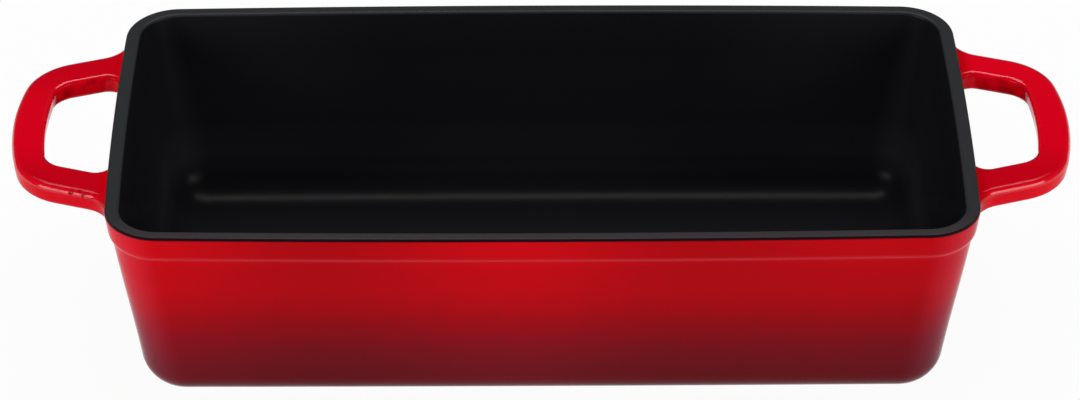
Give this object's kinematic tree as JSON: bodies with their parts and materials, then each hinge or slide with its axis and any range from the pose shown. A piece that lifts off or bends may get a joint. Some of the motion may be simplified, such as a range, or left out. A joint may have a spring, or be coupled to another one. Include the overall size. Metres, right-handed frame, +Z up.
{
  "type": "bread pan",
  "caption": "Long enamelled cast iron bread pan with drafted walls, a raised band under the rim and a flat loop handle at each end.",
  "frame": {"origin": "centre of the base, on the surface the pan stands on", "axes": "+X along the pan, through both handles; +Y across it; +Z up, out of the mouth"},
  "size_m": [0.3242, 0.13, 0.0665],
  "materials": {
    "enamelled_iron": "glossy red enamel outside and on the handles, satin black enamel inside and on the rim"
  },
  "bodies": {
    "root": {"pan": "enamelled_iron"}
  },
  "joints": []
}
